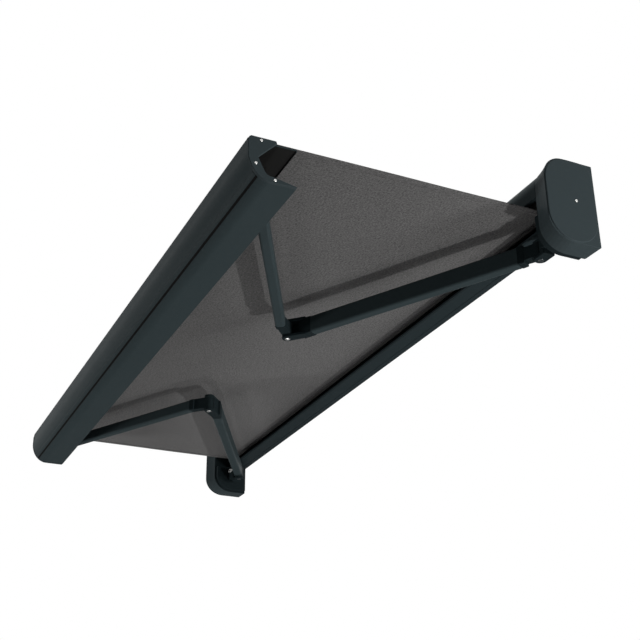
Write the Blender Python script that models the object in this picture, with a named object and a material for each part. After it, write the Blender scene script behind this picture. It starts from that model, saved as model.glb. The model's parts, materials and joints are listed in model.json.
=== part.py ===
# Folding-arm canvas awning: closed cassette, cloth on a roller, two jointed arms, C-section front bar
# Frame: wall plane y = 0, the street at -Y, X along the wall, Z up, metres
import bpy
import bmesh
import numpy as np
from math import pi, sin, cos, atan2, sqrt, radians, asin, acos, hypot

# Overall width and gaps
WIDTH = 3.000            # over both end cap faces
GAP = 0.0003             # fitting gap between touching pieces
CAP_DEPTH = 0.0825       # end cap and side plate together, along X
CAP_SPAN = WIDTH / 2 - CAP_DEPTH
BAR_CAP_T = 0.010
BAR_SIDE_GAP = 0.0275    # room for the shoulder bracket's plate beside the bar
BAR_HALF = CAP_SPAN - BAR_SIDE_GAP - BAR_CAP_T
CLOTH_HALF = BAR_HALF - 0.0015

# Cassette section (y, z)
CAS_TOP = 0.083
CAS_BOTTOM = -0.2075
CAS_FRONT = -0.1695
CAS_BACK = -0.0020
CAP_SHELL = 0.003        # wall of the moulded end caps
CAP_FLARE = 0.0200       # the cap's front runs out this much towards its outer face
BOSS_MARGIN = 0.0015
BOSS_RAISE = 0.0035
BOSS_BACK = -0.006
PLATE_T = 0.004
REAR_BACK = -0.0085
REAR_T = 0.003
SHELF_Z = -0.083
SHELF_FRONT = -0.095
HOOD_T = 0.0025
HOOD_INSET = 0.0025
HOOD_LIP_Z = -0.025

# Wall brackets
BRACKET_PITCH = 1.0
BRACKET_X = (-BRACKET_PITCH, 0.0, BRACKET_PITCH)
BRACKET_W = 0.120
BRACKET_HALF_H = 0.065
BRACKET_T = 0.008
BRACKET_HOLE_R = 0.0055
BRACKET_HOLE_Z = 0.045

# Roller and cloth
ROLL_Y = -0.090
ROLL_Z = 0.001
TUBE_R = 0.039
TUBE_WALL = 0.0015
TUBE_HALF = CAP_SPAN - 0.0225
ROLL_R = 0.0435
CLOTH_T = 0.0006
CLOTH_SAG = 0.0022
KEDER_R = 0.0028
MOTOR_R = 0.0235
MOTOR_LENGTH = 0.545
BEARING_R = 0.030

# Front bar section, set out from the wrist pivots and from the cloth's plane
CLOTH_Z = -0.0431
WRIST_Y = -1.050
BAR_HEIGHT = 0.136
BAR_WALL = 0.003
NOSE_DEPTH = 0.069
NOSE_RISE = 0.087
NOSE_Y = WRIST_Y + 0.008
BAR_FRONT = NOSE_Y - NOSE_DEPTH
BAR_TOP = CLOTH_Z + 0.0011
BAR_BOTTOM = BAR_TOP - BAR_HEIGHT
NOSE_Z = BAR_BOTTOM + NOSE_RISE
FLANGE_END = WRIST_Y + 0.087
PLATE_END = WRIST_Y + 0.090
PLATE_TOP = CLOTH_Z - 0.0034
KEDER_Y = WRIST_Y + 0.002
KEDER_Z = CLOTH_Z

# Arms (all in plan, the two arms are mirrored)
ARM_L = 1.009            # pivot to pivot, rear arm and forearm alike
ARM_X = CAP_SPAN - 0.1175  # shoulder and wrist pivots
REAR_START, REAR_STOP = 0.072, ARM_L - 0.104    # the tubes' ends, from each arm's first pivot
FORE_START, FORE_STOP = 0.082, ARM_L - 0.061
SHOULDER_Y = -0.080
REACH = SHOULDER_Y - WRIST_Y
REST = asin(REACH / 2 / ARM_L)
OFFSET = 0.021           # arm centre line beside the elbow pin
ARM_Z = -0.138           # middle height of the rear arm
REAR_W, REAR_H, REAR_WALL = 0.040, 0.064, 0.0026
FORE_Z = -0.136
FORE_W, FORE_H, FORE_WALL = 0.036, 0.047, 0.0024
PIN_R = 0.006
PIN_FIT = 0.0003
OPEN_PIVOT_FIT = 0.0008  # the left wrist closes the linkage
EAR_R = 0.020
SHOULDER_EAR_T = 0.0085
BRACKET_PLATE_T = 0.0235
ELBOW_EAR_T = 0.011
WRIST_Z = -0.136
WRIST_TONGUE_H = 0.028
WRIST_EAR_T = 0.0105
WRIST_R = 0.0155
PIN_HEAD_R = 0.0095
PIN_HEAD_T = 0.0025

for ob in list(bpy.data.objects):
    bpy.data.objects.remove(ob, do_unlink=True)

COATS = {
    "coat_profile": ((0.030, 0.043, 0.048), 0.42, 0.10),
    "coat_cast": ((0.026, 0.036, 0.040), 0.50, 0.10),
    "coat_moulded": ((0.040, 0.056, 0.062), 0.45, 0.00),
    "cloth_grey": ((0.060, 0.058, 0.058), 0.92, 0.00),
    "steel_bright": ((0.72, 0.72, 0.70), 0.28, 1.00),
    "zinc_tube": ((0.55, 0.56, 0.57), 0.40, 1.00),
    "plastic_black": ((0.018, 0.018, 0.019), 0.55, 0.00),
}
MATERIALS = {}
for slot, (rgb, rough, metal) in COATS.items():
    m = bpy.data.materials.new(slot)
    m.use_nodes = True
    shader = m.node_tree.nodes["Principled BSDF"]
    shader.inputs["Base Color"].default_value = (*rgb, 1.0)
    shader.inputs["Roughness"].default_value = rough
    shader.inputs["Metallic"].default_value = metal
    MATERIALS[slot] = m

AXES = {}


def axis_empty(name, location, angle=0.0):
    """Empty on a joint axis that carries the pieces turning about it."""
    e = bpy.data.objects.new(name, None)
    e.location = location
    e.rotation_euler = (0.0, 0.0, angle)
    bpy.context.scene.collection.objects.link(e)
    AXES[name] = e
    return e


def finish(ob, slot, smooth=True, parent=None, offset=(0.0, 0.0, 0.0)):
    """Give a piece its material, soft shading below 35 degrees and its parent."""
    ob.data.materials.clear()
    ob.data.materials.append(MATERIALS[slot])
    if smooth:
        ob.data.shade_smooth()
        ob.data.set_sharp_from_angle(angle=radians(35))
    if parent is not None:
        ob.parent = AXES[parent]
    ob.location = offset
    return ob


def solid(name, verts, faces):
    """Closed mesh object with outward faces."""
    me = bpy.data.meshes.new(name)
    me.from_pydata([tuple(map(float, v)) for v in verts], [], faces)
    bm = bmesh.new()
    bm.from_mesh(me)
    bmesh.ops.recalc_face_normals(bm, faces=bm.faces)
    bm.to_mesh(me)
    bm.free()
    ob = bpy.data.objects.new(name, me)
    bpy.context.scene.collection.objects.link(ob)
    return ob


def loft(name, loops, closed=False):
    """Skin through equal-count loops of 3-D points, ended by flat faces unless closed."""
    n, k = len(loops[0]), len(loops)
    verts = [p for loop in loops for p in loop]
    faces = []
    for i in range(k if closed else k - 1):
        a, b = i * n, ((i + 1) % k) * n
        for j in range(n):
            q = (j + 1) % n
            faces.append((a + j, a + q, b + q, b + j))
    if not closed:
        faces += [tuple(range(n)), tuple(range((k - 1) * n, k * n))]
    return solid(name, verts, faces)


def extrude_x(name, section, x0, x1):
    """Section of (y, z) points carried along X."""
    return loft(name, [[(x, y, z) for y, z in section] for x in (x0, x1)])


def extrude_z(name, plan, z0, z1, edge=0.0):
    """Plan of (x, y) points carried along Z, its rims chamfered by edge."""
    cx, cy = np.mean(np.array(plan), axis=0)
    if edge <= 0:
        return loft(name, [[(x, y, z) for x, y in plan] for z in (z0, z1)])
    small = inset(plan, edge)
    levels = ((small, z0), (plan, z0 + edge), (plan, z1 - edge), (small, z1))
    return loft(name, [[(x, y, z) for x, y in p] for p, z in levels])


def inset(loop, d):
    """Counter-clockwise loop moved inward by d with mitred corners."""
    p = np.array(loop, float)
    if np.sum(p[:, 0] * np.roll(p[:, 1], -1) - np.roll(p[:, 0], -1) * p[:, 1]) < 0:
        d = -d
    out = []
    for i in range(len(p)):
        a, b = p[i] - p[i - 1], p[(i + 1) % len(p)] - p[i]
        a, b = a / np.linalg.norm(a), b / np.linalg.norm(b)
        na, nb = np.array([-a[1], a[0]]), np.array([-b[1], b[0]])
        m = na + nb
        out.append(tuple(p[i] + m * d / max(0.3, (1 + na @ nb))))
    return out


def fillet(points, radii, n=5):
    """Polygon with each corner rounded by its own radius."""
    out, k = [], len(points)
    for i, r in enumerate(radii):
        p0, p, p1 = (np.array(points[(i + j) % k], float) for j in (-1, 0, 1))
        if r <= 0:
            out.append(tuple(p))
            continue
        a, b = (p0 - p) / np.linalg.norm(p0 - p), (p1 - p) / np.linalg.norm(p1 - p)
        half = acos(max(-1.0, min(1.0, float(a @ b)))) / 2
        d = r / np.tan(half)
        mid = (a + b) / np.linalg.norm(a + b)
        c = p + mid * r / sin(half)
        s, e = p + a * d - c, p + b * d - c
        t0, t1 = atan2(s[1], s[0]), atan2(e[1], e[0])
        turn = (t1 - t0 + pi) % (2 * pi) - pi
        for j in range(n + 1):
            t = t0 + turn * j / n
            out.append((c[0] + r * cos(t), c[1] + r * sin(t)))
    return out


def corner_loop(corners, n=10):
    """Loop of (y, z) with elliptical corners: (y, z, semi-axis y, semi-axis z), from the top back."""
    signs = ((1, 1), (-1, 1), (-1, -1), (1, -1))
    starts = (0.0, pi / 2, pi, 3 * pi / 2)
    out = []
    for (y, z, ry, rz), (sy, sz), t0 in zip(corners, signs, starts):
        for j in range(n + 1):
            t = t0 + (pi / 2) * j / n
            out.append((y - sy * ry + ry * cos(t), z - sz * rz + rz * sin(t)))
    return out


def circle(cx, cy, r, n=32, start=0.0, sweep=2 * pi):
    steps = n if abs(sweep - 2 * pi) < 1e-9 else n + 1
    return [(cx + r * cos(start + sweep * j / n), cy + r * sin(start + sweep * j / n)) for j in range(steps)]


def hull(points):
    """Convex outline round a set of plan points, counter-clockwise."""
    pts = sorted({(round(x, 7), round(y, 7)) for x, y in points})
    def half(seq):
        h = []
        for p in seq:
            while len(h) > 1 and ((h[-1][0] - h[-2][0]) * (p[1] - h[-2][1])
                                  - (h[-1][1] - h[-2][1]) * (p[0] - h[-2][0])) <= 1e-9:
                h.pop()
            h.append(p)
        return h[:-1]
    return half(pts) + half(pts[::-1])


def revolve(name, profile, axis="Z", centre=(0.0, 0.0, 0.0), n=32):
    """Closed (radius, height) profile turned about an axis; radius 0 at both ends closes a solid."""
    open_ends = profile[0][0] < 1e-9
    rings = profile[1:-1] if open_ends else profile
    verts, faces = [], []
    for r, h in rings:
        for j in range(n):
            t = 2 * pi * j / n
            verts.append((r * cos(t), r * sin(t), h))
    k = len(rings)
    for i in range(k - 1 if open_ends else k):
        a, b = i * n, ((i + 1) % k) * n
        faces += [(a + j, a + (j + 1) % n, b + (j + 1) % n, b + j) for j in range(n)]
    if open_ends:
        faces += [tuple(range(n)), tuple(range((k - 1) * n, k * n))]
    v = np.array(verts)
    if axis == "X":
        v = v[:, [2, 0, 1]]
    if axis == "Y":
        v = v[:, [1, 2, 0]]
    return solid(name, v + np.array(centre), faces)


def combine(base, others, op="UNION"):
    """Join or cut with exact Booleans; the helper solids are used up."""
    for other in others:
        mod = base.modifiers.new("cut", "BOOLEAN")
        mod.operation, mod.solver, mod.object = op, "EXACT", other
        mod.use_hole_tolerant = False
        deps = bpy.context.evaluated_depsgraph_get()
        me = bpy.data.meshes.new_from_object(base.evaluated_get(deps))
        base.modifiers.clear()
        base.data = me
        bpy.data.objects.remove(other, do_unlink=True)
    bm = bmesh.new()
    bm.from_mesh(base.data)
    bmesh.ops.remove_doubles(bm, verts=bm.verts, dist=0.00001)
    bmesh.ops.dissolve_degenerate(bm, edges=bm.edges, dist=0.00001)
    bmesh.ops.recalc_face_normals(bm, faces=bm.faces)
    bm.to_mesh(base.data)
    bm.free()
    return base


def rod(axis, centre, r, a, b, n=32):
    """Plain cylinder from a to b along an axis, used for holes and shafts."""
    c = list(centre)
    c["XYZ".index(axis)] = 0.0
    return revolve("rod", [(0, a), (r, a), (r, b), (0, b)], axis, c, n)


def side_loop(loop, x, s):
    return [(s * x, y, z) for y, z in loop]


def screw(name, s, x, y, z, r=0.0045, head=0.0022, shank=0.0022, length=0.007, inward=False):
    """Low pan-head screw along X with a hexagon socket; the head sits just off the face at x."""
    d = -1.0 if inward else 1.0
    n = 24
    ring = lambda rr, h: [(s * (x + d * h), y + rr * cos(2 * pi * j / n), z + rr * sin(2 * pi * j / n)) for j in range(n)]
    hexa = lambda rr, h: [(s * (x + d * h), y + k * cos(t), z + k * sin(t)) for t, k in
                          ((2 * pi * j / n, rr / cos((2 * pi * j / n) % (pi / 3) - pi / 6)) for j in range(n))]
    loops = [ring(shank, -length), ring(shank, GAP), ring(r, GAP), ring(r, head * 0.55), ring(r * 0.80, head),
             hexa(r * 0.42, head), hexa(r * 0.40, head * 0.45)]
    return loft(name, loops)


# Wall brackets: flat plate with an upturned hook that carries the rear profile
def wall_bracket(name, x):
    h, t = BRACKET_HALF_H, BRACKET_T
    section = [(0, -h), (0, h), (-t, h), (-t, 0.0235), (-0.0120, 0.0235), (-0.0120, 0.0380),
               (-0.0160, 0.0380), (-0.0160, 0.0100), (-t, 0.0100), (-t, -h)]
    ob = extrude_x(name, fillet(section, [0, 0, .0015, .001, .001, .001, .0015, .0015, .001, .0015], 3),
                   x - BRACKET_W / 2, x + BRACKET_W / 2)
    holes = [rod("Y", (x + dx, 0, dz), BRACKET_HOLE_R, -0.03, 0.01, 24)
             for dx in (-0.035, 0.035) for dz in (-BRACKET_HOLE_Z, 0.053)]
    return finish(combine(ob, holes, "DIFFERENCE"), "coat_cast")


for label, x in zip(("left", "middle", "right"), BRACKET_X):
    wall_bracket("wall_bracket_" + label, x)

# Rear profile: back wall with the hook pocket, top flange and the shelf over the arms
b, t = REAR_BACK, REAR_T
rear = [(b, 0.081), (b, 0.024), (b - t, 0.024), (b - t, 0.045), (b - 0.010, 0.045), (b - 0.010, 0.000), (b, 0.000),
        (b, SHELF_Z), (-0.0325, SHELF_Z), (-0.0335, SHELF_Z + 0.0012), (-0.0345, SHELF_Z + 0.0012),
        (-0.0355, SHELF_Z), (-0.088, SHELF_Z), (-0.089, SHELF_Z + 0.0012), (-0.090, SHELF_Z + 0.0012),
        (-0.091, SHELF_Z), (SHELF_FRONT, SHELF_Z), (SHELF_FRONT, SHELF_Z + 0.008),
        (SHELF_FRONT + t, SHELF_Z + 0.008), (SHELF_FRONT + t, SHELF_Z + t), (b - t, SHELF_Z + t), (b - t, -t),
        (b - 0.013, -t), (b - 0.013, 0.048), (b - t, 0.048), (b - t, 0.078), (-0.036, 0.078), (-0.036, 0.071),
        (-0.039, 0.071), (-0.039, 0.081)]
rr = [.001, .0008, .0008, .002, .002, .001, .001, .002, 0, 0, 0, 0, 0, 0, 0, 0, .001, .001, .001, .002, .003, .002,
      .002, .002, .002, .002, .001, .001, .001, .001]
finish(extrude_x("rear_profile", fillet(rear, rr, 3), -CAP_SPAN + GAP, CAP_SPAN - GAP), "coat_profile")


# Hood: bent shell that follows the rounded front of the end caps, its lower lip turned inward
def hood_path(d):
    top, front = CAS_TOP - HOOD_INSET - d, CAS_FRONT + HOOD_INSET + d
    cy, cz, ry, rz = -0.093, 0.005, -0.093 - front, top - 0.005
    pts = [(-0.0395, top), (-0.066, top)]
    pts += [(cy - ry * sin(a), cz + rz * cos(a)) for a in np.linspace(0, pi / 2, 17)]
    return pts + [(front, -0.004)]


outer, inner = hood_path(0.0), hood_path(HOOD_T)
f0 = CAS_FRONT + HOOD_INSET
lip = [(f0, HOOD_LIP_Z + 0.002), (f0 + 0.002, HOOD_LIP_Z), (f0 + 0.013, HOOD_LIP_Z), (f0 + 0.013, HOOD_LIP_Z + 0.007),
       (f0 + 0.0108, HOOD_LIP_Z + 0.007), (f0 + 0.0108, HOOD_LIP_Z + 0.0024), (f0 + HOOD_T, HOOD_LIP_Z + 0.0024)]
hook = [(-0.0395, CAS_TOP - HOOD_INSET - 0.009), (-0.0420, CAS_TOP - HOOD_INSET - 0.009)]
shell = outer + lip + inner[::-1][:-1] + [(-0.0420, CAS_TOP - HOOD_INSET - HOOD_T)] + hook[::-1]
finish(extrude_x("hood", shell, -CAP_SPAN + GAP, CAP_SPAN - GAP), "coat_profile")


# End caps: shelled mouldings, square against the wall, running out into a rounded boss
def cap_loop(d, front=CAS_FRONT, back_r=0.004):
    r = lambda v: max(v - d, 0.0008)
    return corner_loop(((CAS_BACK - d, CAS_TOP - d, r(back_r), r(back_r)),
                        (front + d, CAS_TOP - d, r(0.076), r(0.078)),
                        (front + d, CAS_BOTTOM + d, r(0.090), r(0.080)),
                        (CAS_BACK - d, CAS_BOTTOM + d, r(back_r), r(back_r))))


def boss_loop(d):
    r = lambda v: v - d
    front, top, low = CAS_FRONT - CAP_FLARE + BOSS_MARGIN, CAS_TOP - BOSS_MARGIN, CAS_BOTTOM + BOSS_MARGIN
    return corner_loop(((BOSS_BACK - d, top - d, r(0.052), r(0.050)), (front + d, top - d, r(0.086), r(0.084)),
                        (front + d, low + d, r(0.088), r(0.092)), (BOSS_BACK - d, low + d, r(0.085), r(0.085))))


def mix(a, b, k):
    return [(ya + (yb - ya) * k, za + (zb - za) * k) for (ya, za), (yb, zb) in zip(a, b)]


CAP_SCREW = (-0.0795, -0.0613)
BOLT = (-0.0905, -0.1043)
cap_x0 = CAP_SPAN + PLATE_T + GAP
face = WIDTH / 2
for s, label in ((1, "right"), (-1, "left")):
    plate = loft("side_plate_" + label, [side_loop(cap_loop(0.0012), CAP_SPAN, s),
                                         side_loop(cap_loop(0.0012), CAP_SPAN + PLATE_T, s)])
    holes = [rod("X", (0, *p), r, s * (CAP_SPAN - 0.004), s * (cap_x0 + 0.01), 24) for p, r in ((BOLT, 0.0036), (CAP_SCREW, 0.0026))]
    finish(combine(plate, holes, "DIFFERENCE"), "coat_cast")

    deep = face - BOSS_RAISE - cap_x0
    flare = lambda k: CAS_FRONT - CAP_FLARE * k ** 1.3
    shell_in = [side_loop(cap_loop(CAP_SHELL, flare(0.8)), cap_x0 + deep * 0.9, s), side_loop(cap_loop(CAP_SHELL, flare(0.4)), cap_x0 + deep * 0.5, s),
                side_loop(cap_loop(CAP_SHELL), cap_x0, s)]
    shell_out = [side_loop(cap_loop(0.0, flare(k)), cap_x0 + deep * k, s) for k in (0.0, 0.25, 0.5, 0.75)]
    shell_out += [side_loop(cap_loop(0.0, flare(1.0)), face - BOSS_RAISE - 0.0010, s), side_loop(cap_loop(0.0008, flare(1.0)), face - BOSS_RAISE, s),
                  side_loop(boss_loop(0.0), face - BOSS_RAISE + 0.0002, s), side_loop(boss_loop(0.0004), face - 0.0020, s),
                  side_loop(boss_loop(0.0010), face - 0.0007, s), side_loop(boss_loop(0.0026), face, s)]
    cap = loft("end_cap_" + label, shell_in + shell_out)
    post = rod("X", (0, *CAP_SCREW), 0.0060, s * (cap_x0 + 0.001), s * (face - BOSS_RAISE - 0.002), 24)
    bore = rod("X", (0, *CAP_SCREW), 0.0026, s * (cap_x0 - 0.001), s * (face + 0.004), 24)
    sink = rod("X", (0, *CAP_SCREW), 0.0056, s * (face - 0.0012), s * (face + 0.004), 24)
    combine(cap, [post])
    finish(combine(cap, [bore, sink], "DIFFERENCE"), "coat_moulded")
    finish(screw("cap_screw_" + label, s, face - 0.0012, *CAP_SCREW, r=0.0050, head=0.0026, length=0.020), "steel_bright")

# Roller: grooved tube, wound cloth, end plug and bearing on the right, motor head, crown and wheel on the left
axis_empty("roller_axis", (0.0, ROLL_Y, ROLL_Z))


def ring_x(name, outer_r, inner_r, x0, x1, n=48):
    """Tube along X whose two radii are functions of the angle."""
    angles = [2 * pi * j / n for j in range(n)]
    loops = [[(x, f(a) * cos(a), f(a) * sin(a)) for a in angles] for x, f in
             ((x0, outer_r), (x1, outer_r), (x1, inner_r), (x0, inner_r))]
    return loft(name, loops, closed=True)


def grooved(a):
    return TUBE_R - (0.0030 if min(abs(a - k) for k in (pi / 2, 3 * pi / 2)) < 0.05 else 0.0)


finish(ring_x("roller_tube", grooved, lambda a: grooved(a) - TUBE_WALL, -TUBE_HALF, TUBE_HALF), "zinc_tube", True, "roller_axis")
wound = lambda a: ROLL_R - CLOTH_T * (((a - 1.5 * pi) % (2 * pi)) / (2 * pi))
finish(ring_x("cloth_roll", wound, lambda a: TUBE_R + GAP, -CLOTH_HALF, CLOTH_HALF, 64), "cloth_grey", True, "roller_axis")
bore = TUBE_R - 0.0030 - TUBE_WALL - GAP
plug = [(0.0088, TUBE_HALF - 0.050), (bore, TUBE_HALF - 0.050), (bore, TUBE_HALF + GAP), (TUBE_R - 0.001, TUBE_HALF + GAP),
        (TUBE_R - 0.001, TUBE_HALF + 0.003), (0.0150, TUBE_HALF + 0.003), (0.0088, TUBE_HALF + 0.0005)]
finish(revolve("idler_plug", plug, "X"), "plastic_black", True, "roller_axis")
crown = [(MOTOR_R + 2 * GAP, -TUBE_HALF + 0.005), (bore, -TUBE_HALF + 0.005), (bore, -TUBE_HALF + 0.025), (MOTOR_R + 2 * GAP, -TUBE_HALF + 0.025)]
MOTOR_END = TUBE_HALF - MOTOR_LENGTH
finish(revolve("motor_crown", crown, "X"), "plastic_black", True, "roller_axis")
wheel = [(0.0064, -MOTOR_END + 0.006), (0.016, -MOTOR_END + 0.006), (0.016, -MOTOR_END + 0.010),
         (bore, -MOTOR_END + 0.010), (bore, -MOTOR_END + 0.032), (0.0064, -MOTOR_END + 0.032)]
finish(revolve("drive_wheel", wheel, "X"), "plastic_black", True, "roller_axis")
rc = (0.0, ROLL_Y, ROLL_Z)
e = TUBE_HALF
idler = [(0, e - 0.045), (0.0070, e - 0.045), (0.0084, e - 0.042), (0.0084, e + 0.008), (0.0120, e + 0.008), (BEARING_R, e + 0.010),
         (BEARING_R, CAP_SPAN - GAP), (0, CAP_SPAN - GAP)]
finish(revolve("idler_bearing", idler, "X", rc), "steel_bright")
motor = [(0, -e - 0.0165), (0.0090, -e - 0.0165), (0.0090, -e - 0.009), (0.0360, -e - 0.009), (0.0360, -e - 0.001), (MOTOR_R, -e),
         (MOTOR_R, -MOTOR_END), (0.0060, -MOTOR_END), (0.0060, -MOTOR_END + 0.030), (0, -MOTOR_END + 0.030)]
finish(revolve("tubular_motor", motor, "X", rc), "zinc_tube")
seat = [(0.0094, -CAP_SPAN + GAP), (BEARING_R, -CAP_SPAN + GAP), (BEARING_R, -e - 0.011), (0.0260, -e - 0.0093), (0.0094, -e - 0.0093)]
finish(revolve("motor_bearing", seat, "X", rc), "coat_cast")

# Cloth: one tensioned sheet from the roll's underside to the bead in the front bar, hems at both sides
ys = np.linspace(ROLL_Y + 0.001, KEDER_Y + 0.0045, 25)
span = ys[-1] - ys[0]
top = [(y, KEDER_Z + CLOTH_T / 2 - 4 * CLOTH_SAG * (k := (y - ys[0]) / span) * (1 - k)) for y in ys]
bead = circle(KEDER_Y, KEDER_Z, KEDER_R, 18, 0.12, 2 * pi - 0.24)
cloth = top + bead + [(y, z - CLOTH_T) for y, z in top[::-1]]
finish(extrude_x("cloth", cloth, -CLOTH_HALF, CLOTH_HALF), "cloth_grey")

# Front bar: C-section with a quarter-elliptical nose, cloth channel on top and an open back
axis_empty("front_bar_axis", (ARM_X, WRIST_Y, 0.0))
bar_off = (-ARM_X, -WRIST_Y, 0.0)
ry, rz = NOSE_Y - BAR_FRONT, NOSE_Z - BAR_BOTTOM


def nose(d, n=22):
    """Quarter ellipse from the flat bottom up to the vertical front, inset by d."""
    return [(NOSE_Y - (ry - d) * sin(a), NOSE_Z - (rz - d) * cos(a)) for a in np.linspace(0, pi / 2, n)]


w = BAR_WALL
slot_at = 10
n_out = nose(0.0)
slot = [n_out[slot_at], tuple(np.array(n_out[slot_at]) + (0.0012, 0.0016)),
        tuple(np.array(n_out[slot_at + 1]) + (0.0012, 0.0016)), n_out[slot_at + 1]]
ky, kz, kr = KEDER_Y, KEDER_Z, KEDER_R + 0.0005
channel = [(ky + kr + 0.0012, kz - 0.0008)] + circle(ky, kz, kr, 20, -0.24, -(2 * pi - 0.48)) + [(ky + kr + 0.0012, kz + 0.0008)]
step = (NOSE_Y + FLANGE_END) / 2
bf = BAR_FRONT
bar = ([(FLANGE_END, BAR_BOTTOM), (step, BAR_BOTTOM)] + n_out[:slot_at] + slot + n_out[slot_at + 2:]
       + [(bf, BAR_TOP - 0.028)] + circle(BAR_FRONT + 0.008, BAR_TOP - 0.008, 0.008, 6, pi, -pi / 2)
       + [(bf + 0.014, BAR_TOP), (bf + 0.016, PLATE_TOP), (ky - kr - 0.0025, PLATE_TOP), (ky - kr - 0.0025, kz + kr * 0.6),
          (ky - kr * 0.9, kz + kr + 0.0018), (ky + kr * 0.6, kz + kr + 0.0018)]
       + channel[::-1]
       + [(ky + kr + 0.0022, PLATE_TOP), (PLATE_END, PLATE_TOP), (PLATE_END, PLATE_TOP - 0.008), (PLATE_END - 0.002, PLATE_TOP - 0.008),
          (PLATE_END - 0.002, PLATE_TOP - w - 0.001), (bf + 0.017, PLATE_TOP - w - 0.003), (bf + w, PLATE_TOP - w - 0.020)]
       + nose(w)[::-1] + [(step, BAR_BOTTOM + w), (FLANGE_END - 0.004, BAR_BOTTOM + w), (FLANGE_END - 0.001, BAR_BOTTOM + w + 0.0006),
                          (FLANGE_END, BAR_BOTTOM + w)])
finish(extrude_x("front_bar", bar, -BAR_HALF + GAP, BAR_HALF - GAP), "coat_profile", True, "front_bar_axis", bar_off)

# Bar caps: plates with the V-shaped notch that clears the shoulder bracket when the bar is home
cap_front = [(NOSE_Y - (ry + 0.001) * sin(a), NOSE_Z - (rz + 0.001) * cos(a)) for a in np.linspace(0, pi / 2, 14)]
cap_plan = ([(FLANGE_END, BAR_BOTTOM + 0.003), (FLANGE_END - 0.002, BAR_BOTTOM - 0.001)] + cap_front
            + [(bf - 0.001, BAR_TOP - 0.018), (bf + 0.003, BAR_TOP - 0.003), (bf + 0.008, BAR_TOP + 0.001),
               (NOSE_Y + 0.0145, BAR_TOP + 0.001), (NOSE_Y + 0.0175, BAR_TOP - 0.0066)])
NOTCH_Y, NOTCH_Z = bf + 0.0302, BAR_BOTTOM + 0.0705
cap_plan += [(NOTCH_Y + 0.0008, NOTCH_Z + 0.0025), (NOTCH_Y, NOTCH_Z), (NOTCH_Y + 0.0008, NOTCH_Z - 0.0025),
             (NOTCH_Y + 0.0168, NOTCH_Z - 0.0350), (NOTCH_Y + 0.0208, NOTCH_Z - 0.0425),
             (NOTCH_Y + 0.0265, BAR_BOTTOM + 0.0215), (NOSE_Y - 0.002, BAR_BOTTOM + 0.0180), (NOSE_Y + 0.009, BAR_BOTTOM + 0.0169)]
BAR_SCREWS = ((bf + 0.0384, BAR_TOP - 0.0087), (bf + 0.0231, NOTCH_Z - 0.0211), (NOSE_Y + 0.0120, BAR_BOTTOM + 0.0075))
for s, label in ((1, "right"), (-1, "left")):
    rim = inset(cap_plan, 0.0012)
    loops = [side_loop(cap_plan, BAR_HALF, s), side_loop(cap_plan, BAR_HALF + BAR_CAP_T - 0.0012, s),
             side_loop(rim, BAR_HALF + BAR_CAP_T, s)]
    cap = loft("bar_cap_" + label, loops)
    lug_pts = [(NOSE_Y - (ry - w - 0.0005) * sin(a), NOSE_Z - (rz - w - 0.0005) * cos(a)) for a in np.linspace(0.75, pi / 2, 8)]
    lug_pts += [(bf + 0.0245, NOSE_Z + 0.021), (bf + 0.0035, NOSE_Z + 0.019), (bf + 0.0245, NOSE_Z - 0.019)]
    lug = extrude_x("lug", hull(lug_pts), s * (BAR_HALF - 0.018), s * (BAR_HALF + 0.002))
    combine(cap, [lug])
    x1 = BAR_HALF + BAR_CAP_T - 0.0010
    cuts = [rod("X", (0, *p), r, s * a, s * (x1 + 0.01), 20) for p in BAR_SCREWS
            for r, a in ((0.0022, x1 - 0.0052), (0.0050, x1))]
    finish(combine(cap, cuts, "DIFFERENCE"), "coat_moulded", True, "front_bar_axis", bar_off)
    for k, p in enumerate(BAR_SCREWS):
        finish(screw(f"bar_screw_{label}_{k + 1}", s, x1, *p, r=0.0044, head=0.0024, shank=0.0018, length=0.0045),
               "steel_bright", True, "front_bar_axis", bar_off)


def pin(name, z0, z1, parent=None, offset=(0, 0, 0), x=0.0, y=0.0):
    """Shouldered hinge pin: domed head below, shaft, retaining head above."""
    r, h = PIN_HEAD_R, PIN_HEAD_T
    prof = [(0, z0 - h), (r * 0.62, z0 - h), (r * 0.90, z0 - h * 0.72), (r, z0 - h * 0.35), (r, z0 - GAP), (PIN_R, z0 - GAP),
            (PIN_R, z1 + GAP), (r * 0.9, z1 + GAP), (r * 0.9, z1 + h * 0.7), (r * 0.7, z1 + h), (0, z1 + h)]
    return finish(revolve(name, prof, "Z", (x, y, 0)), "steel_bright", True, parent, offset)


def bored(ob, x, y, r, z0, z1):
    return combine(ob, [rod("Z", (x, y, 0), r, z0, z1, 32)], "DIFFERENCE")


def block(x0, x1, y0, y1, z0, z1, edge=0.003):
    plan = fillet([(x0, y0), (x1, y0), (x1, y1), (x0, y1)], [edge] * 4, 3)
    return extrude_z("block", plan, z0, z1, min(edge * 0.5, 0.0015))


def tube_arm(name, s, x0, x1, width, height, wall, zc, slope_from, slope_to, parent):
    """Hollow rounded extrusion along the arm's slightly offset centre line, its flat flanks ribbed."""
    def section(d):
        w2, h2, r = width / 2 - d, height / 2 - d, max(0.009 - d, 0.002)
        pts = [(w2, -h2), (w2, h2), (-w2, h2), (-w2, -h2)]
        return fillet(pts, [r] * 4, 6)
    def at(x, loop):
        yc = slope_from + (slope_to - slope_from) * x / ARM_L
        return [(x, s * (yc + y), zc + z) for y, z in loop]
    groove = lambda loop: loop
    loops = [at(x0, section(0)), at(x1, section(0)), at(x1, section(wall)), at(x0, section(wall))]
    return finish(loft(name, [groove(l) for l in loops], closed=True), "coat_profile", True, parent)


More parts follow.
